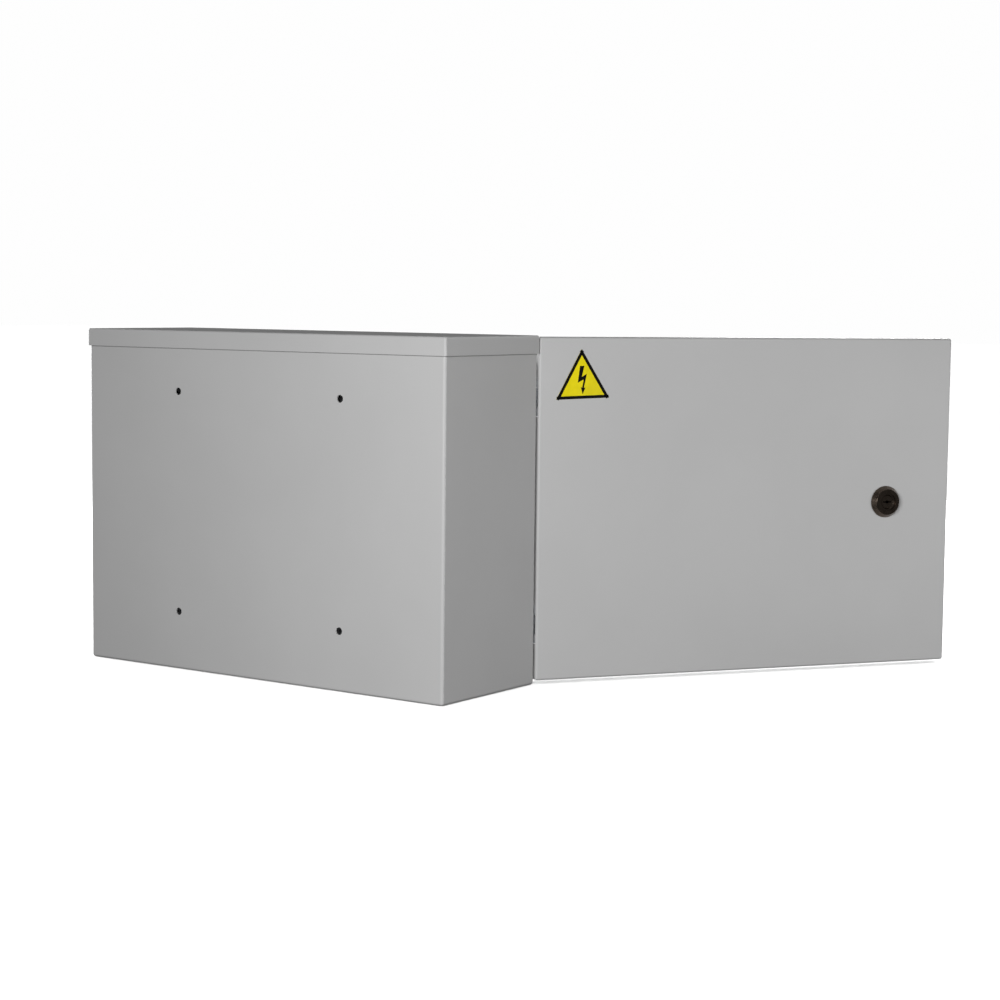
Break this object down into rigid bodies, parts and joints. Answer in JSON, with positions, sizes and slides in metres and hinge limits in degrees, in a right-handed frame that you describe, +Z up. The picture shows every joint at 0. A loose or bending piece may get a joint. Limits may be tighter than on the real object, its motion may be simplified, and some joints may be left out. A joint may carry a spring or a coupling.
{
  "type": "automatic transfer switch",
  "caption": "Wall-mounted steel cabinet with hinged door, lock and cover, holding breakers, interlocked contactors, controller, relays, terminals and wiring.",
  "frame": {"origin": "centre of the four wall fixing holes, on the back wall's outer face", "axes": "+X to the right seen from the front, +Y into the wall, +Z up; drawn with the door open by 125 degrees"},
  "size_m": [0.6325, 0.4738, 0.3],
  "materials": {
    "cabinet_paint": "light grey powder coat, fine texture",
    "zinc_plated": "bright zinc plating",
    "galvanised": "galvanised sheet",
    "black_rubber": "matt foam rubber",
    "grey_rubber": "matt rubber",
    "grey_plastic": "moulded, matt",
    "black_plastic": "moulded, matt",
    "white_plastic": "moulded, matt",
    "face_plate": "printed front plate",
    "lamp_lens": "clear tinted lens",
    "knob_plastic": "moulded, fluted",
    "button_plastic": "moulded",
    "blue_plastic": "moulded",
    "relay_core": "wound coil and frame",
    "clear_cover": "clear cap",
    "brass": "bright drawn brass",
    "insulator_plastic": "moulded insulator",
    "brown_pvc": "extruded insulation",
    "black_pvc": "extruded insulation",
    "grey_pvc": "extruded insulation",
    "blue_pvc": "extruded insulation",
    "green_pvc": "green and yellow insulation",
    "red_pvc": "extruded insulation",
    "label_yellow": "printed plate",
    "lock_metal": "dark nickel plating"
  },
  "bodies": {
    "cabinet": {"body_shell": "cabinet_paint", "top_cover": "cabinet_paint", "cover_nuts": "zinc_plated", "m6_nuts": "zinc_plated", "panel_screws": "zinc_plated", "bar_screws": "zinc_plated", "terminal_screws": "zinc_plated", "contactor_terminals": "zinc_plated", "body_hinge_brackets": "zinc_plated", "gland_plate": "galvanised", "mounting_plate": "galvanised", "upper_din_rail": "galvanised", "lower_din_rail": "galvanised", "gland_gasket": "black_rubber", "cable_grommets": "grey_rubber", "end_clamps": "grey_plastic", "terminal_blocks": "grey_plastic", "interlock_module": "grey_plastic", "mains_contactor_housing": "grey_plastic", "generator_contactor_housing": "grey_plastic", "mains_contactor_base": "black_plastic", "generator_contactor_base": "black_plastic", "relay_sockets": "black_plastic", "mains_breaker_poles": "white_plastic", "generator_breaker_poles": "white_plastic", "control_breaker_pole": "white_plastic", "controller_case": "white_plastic", "controller_face": "face_plate", "controller_lamps": "lamp_lens", "relay_cores": "relay_core", "relay_covers": "clear_cover", "neutral_bar": "brass", "earth_bar": "brass", "bar_insulators": "insulator_plastic", "brown_phase_wires": "brown_pvc", "black_phase_wires": "black_pvc", "grey_phase_wires": "grey_pvc", "neutral_wires": "blue_pvc", "earth_wires": "green_pvc", "control_wires": "red_pvc", "door_earth_lead": "green_pvc"},
    "door": {"door_panel": "cabinet_paint", "door_seal": "black_rubber", "door_hinge_brackets": "zinc_plated", "hinge_pins": "zinc_plated", "door_earth_nuts": "zinc_plated", "warning_label": "label_yellow", "lock_housing": "lock_metal", "lock_nut": "zinc_plated"},
    "lock": {"lock_plug": "lock_metal", "lock_cam": "zinc_plated", "cam_screw": "zinc_plated"},
    "mains_lever": {"mains_breaker_lever": "black_plastic"},
    "generator_lever": {"generator_breaker_lever": "black_plastic"},
    "control_lever": {"control_breaker_lever": "black_plastic"},
    "mains_carrier": {"mains_contactor_carrier": "blue_plastic"},
    "generator_carrier": {"generator_contactor_carrier": "blue_plastic"},
    "delay_dial": {"delay_knob": "knob_plastic"},
    "threshold_dial": {"threshold_knob": "knob_plastic"},
    "button": {"test_button": "button_plastic"}
  },
  "joints": [
    {"name": "door_hinge", "type": "hinge", "parent": "cabinet", "child": "door", "pos_m": [-0.1968, -0.142, 0], "axis": [0, 0, -1], "range_deg": [-125, 5], "deforming": ["door_earth_lead"]},
    {"name": "lock_turn", "type": "hinge", "parent": "door", "child": "lock", "pos_m": [-0.39453, -0.41043, 0.00185], "axis": [-0.8192, 0.5736, 0], "range_deg": [0, 90]},
    {"name": "mains_lever_swing", "type": "hinge", "parent": "cabinet", "child": "mains_lever", "pos_m": [-0.1433, -0.0757, 0.06], "axis": [-1, 0, 0], "range_deg": [0, 80]},
    {"name": "generator_lever_swing", "type": "hinge", "parent": "cabinet", "child": "generator_lever", "pos_m": [-0.0885, -0.0757, 0.06], "axis": [-1, 0, 0], "range_deg": [0, 80]},
    {"name": "control_lever_swing", "type": "hinge", "parent": "cabinet", "child": "control_lever", "pos_m": [-0.0337, -0.0757, 0.06], "axis": [-1, 0, 0], "range_deg": [0, 80]},
    {"name": "mains_carrier_slide", "type": "slide", "parent": "cabinet", "child": "mains_carrier", "axis": [0, 1, 0], "range_m": [0, 0.0035], "stiffness_N_per_m": 400, "springref_m": -0.002},
    {"name": "generator_carrier_slide", "type": "slide", "parent": "cabinet", "child": "generator_carrier", "axis": [0, 1, 0], "range_m": [0, 0.0035], "stiffness_N_per_m": 400, "springref_m": -0.002},
    {"name": "delay_dial_turn", "type": "hinge", "parent": "cabinet", "child": "delay_dial", "pos_m": [-0.0068, -0.0807, 0.053], "axis": [0, -1, 0], "range_deg": [-135, 135]},
    {"name": "threshold_dial_turn", "type": "hinge", "parent": "cabinet", "child": "threshold_dial", "pos_m": [0.0122, -0.0807, 0.053], "axis": [0, -1, 0], "range_deg": [-135, 135]},
    {"name": "button_press", "type": "slide", "parent": "cabinet", "child": "button", "axis": [0, 1, 0], "range_m": [0, 0.002], "stiffness_N_per_m": 400, "springref_m": -0.001}
  ]
}
